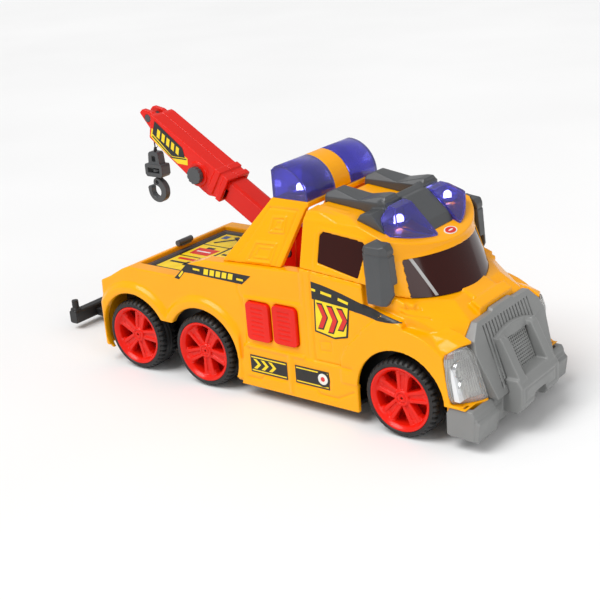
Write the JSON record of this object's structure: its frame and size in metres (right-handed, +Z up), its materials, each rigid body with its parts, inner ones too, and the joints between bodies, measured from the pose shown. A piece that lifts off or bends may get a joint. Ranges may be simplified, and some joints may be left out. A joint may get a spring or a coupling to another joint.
{
  "type": "toy tow truck",
  "caption": "Toy tow truck with a tilting, telescoping crane, winch and hook, folding towing arm, light bars, sound and light buttons and free-rolling wheels.",
  "frame": {"origin": "centre of the bounding box's footprint on the ground, towing arm included", "axes": "+X forward along the truck, +Y to the truck's left, +Z up"},
  "size_m": [0.372, 0.113, 0.1661],
  "materials": {
    "yellow_plastic": "glossy moulded plastic",
    "red_plastic": "glossy moulded plastic",
    "grey_plastic": "satin silver-grey moulded plastic",
    "dark_grey_plastic": "satin moulded plastic",
    "black_plastic": "satin moulded plastic",
    "window_tint": "glossy tinted plastic",
    "clear_lens": "clear ribbed plastic",
    "blue_lens": "clear blue plastic",
    "reflector": "bright plated plastic",
    "led": "clear lamp bodies",
    "steel": "bright steel",
    "circuit_board": "printed board",
    "cord": "twisted thread",
    "tyre": "soft black plastic tyre"
  },
  "bodies": {
    "truck": {"lower_body": "yellow_plastic", "cab_shell": "yellow_plastic", "tower": "yellow_plastic", "glazing": "window_tint", "grille": "grey_plastic", "bumper": "grey_plastic", "headlight_lens_right": "clear_lens", "headlight_lens_left": "clear_lens", "headlight_reflectors": "reflector", "side_mirror_right": "dark_grey_plastic", "side_mirror_left": "dark_grey_plastic", "roof_housing": "dark_grey_plastic", "roof_lens_right": "blue_lens", "roof_lens_left": "blue_lens", "light_bar_bridge": "yellow_plastic", "light_bar_lens_right": "blue_lens", "light_bar_lens_left": "blue_lens", "lamp_leds": "led", "crane_base": "red_plastic", "boom_pivot_pin": "dark_grey_plastic", "deck_insert": "dark_grey_plastic", "deck_catch": "dark_grey_plastic", "chassis": "black_plastic", "battery_door": "black_plastic", "batteries": "steel", "circuit_board": "circuit_board", "speaker": "steel", "screws": "steel", "button_board": "circuit_board", "left_vents": "red_plastic", "tow_hinge_pin": "steel"},
    "wheels_rear": {"tyre_rear_right": "tyre", "tyre_rear_left": "tyre", "rim_rear_right": "red_plastic", "rim_rear_left": "red_plastic", "axle_rear": "steel"},
    "wheels_middle": {"tyre_middle_right": "tyre", "tyre_middle_left": "tyre", "rim_middle_right": "red_plastic", "rim_middle_left": "red_plastic", "axle_middle": "steel"},
    "wheels_front": {"tyre_front_right": "tyre", "tyre_front_left": "tyre", "rim_front_right": "red_plastic", "rim_front_left": "red_plastic", "axle_front": "steel"},
    "boom": {"inner_boom": "red_plastic"},
    "boom_sleeve": {"outer_boom_right": "red_plastic", "outer_boom_left": "red_plastic", "tip_pin": "dark_grey_plastic"},
    "winch": {"winch_drum": "dark_grey_plastic", "winch_knob": "dark_grey_plastic"},
    "string": {"string": "cord"},
    "hook_block": {"hook_block": "dark_grey_plastic"},
    "hook": {"hook": "dark_grey_plastic"},
    "tow_arm": {"tow_arm": "black_plastic", "tow_crossbar": "black_plastic"},
    "button_light": {"button_light": "red_plastic"},
    "button_sound": {"button_sound": "red_plastic"},
    "power_switch": {"power_switch": "black_plastic"}
  },
  "joints": [
    {"name": "wheels_rear_roll", "type": "hinge", "parent": "truck", "child": "wheels_rear", "pos_m": [-0.085, 0, 0.0243], "axis": [0, 1, 0], "continuous": true},
    {"name": "wheels_middle_roll", "type": "hinge", "parent": "truck", "child": "wheels_middle", "pos_m": [-0.0245, 0, 0.0243], "axis": [0, 1, 0], "continuous": true},
    {"name": "wheels_front_roll", "type": "hinge", "parent": "truck", "child": "wheels_front", "pos_m": [0.1256, 0, 0.0243], "axis": [0, 1, 0], "continuous": true},
    {"name": "boom_lift", "type": "hinge", "parent": "truck", "child": "boom", "pos_m": [0.019, 0, 0.0853], "axis": [0, 1, 0], "range_deg": [0, 30]},
    {"name": "boom_extend", "type": "slide", "parent": "boom", "child": "boom_sleeve", "axis": [-0.8508, 0, 0.5255], "range_m": [-0.02, 0.015]},
    {"name": "winch_turn", "type": "hinge", "parent": "boom_sleeve", "child": "winch", "pos_m": [-0.0553, 0, 0.12696], "axis": [0, 1, 0], "range_deg": [-20, 290]},
    {"name": "hook_swing", "type": "hinge", "parent": "boom_sleeve", "child": "string", "pos_m": [-0.0991, 0, 0.16012], "axis": [0, 1, 0], "range_deg": [-30, 15]},
    {"name": "hook_hoist", "type": "slide", "parent": "string", "child": "hook_block", "axis": [0, 0, -1], "range_m": [-0.001, 0.0151], "deforming": ["string"]},
    {"name": "hook_swivel", "type": "hinge", "parent": "hook_block", "child": "hook", "pos_m": [-0.1022, 0, 0.12], "axis": [0, 0, 1], "continuous": true},
    {"name": "tow_arm_fold", "type": "hinge", "parent": "truck", "child": "tow_arm", "pos_m": [-0.112, 0, 0.015], "axis": [0, 1, 0], "range_deg": [0, 45]},
    {"name": "button_light_press", "type": "slide", "parent": "truck", "child": "button_light", "axis": [0, 1, 0], "range_m": [0, 0.0018], "stiffness_N_per_m": 250},
    {"name": "button_sound_press", "type": "slide", "parent": "truck", "child": "button_sound", "axis": [0, 1, 0], "range_m": [0, 0.0018], "stiffness_N_per_m": 250},
    {"name": "power_switch_slide", "type": "slide", "parent": "truck", "child": "power_switch", "axis": [1, 0, 0], "range_m": [0, 0.002]}
  ],
  "couplings": [
    {"joint": "winch_turn", "follows": "hook_hoist", "rad_per_m": 333.33}
  ]
}
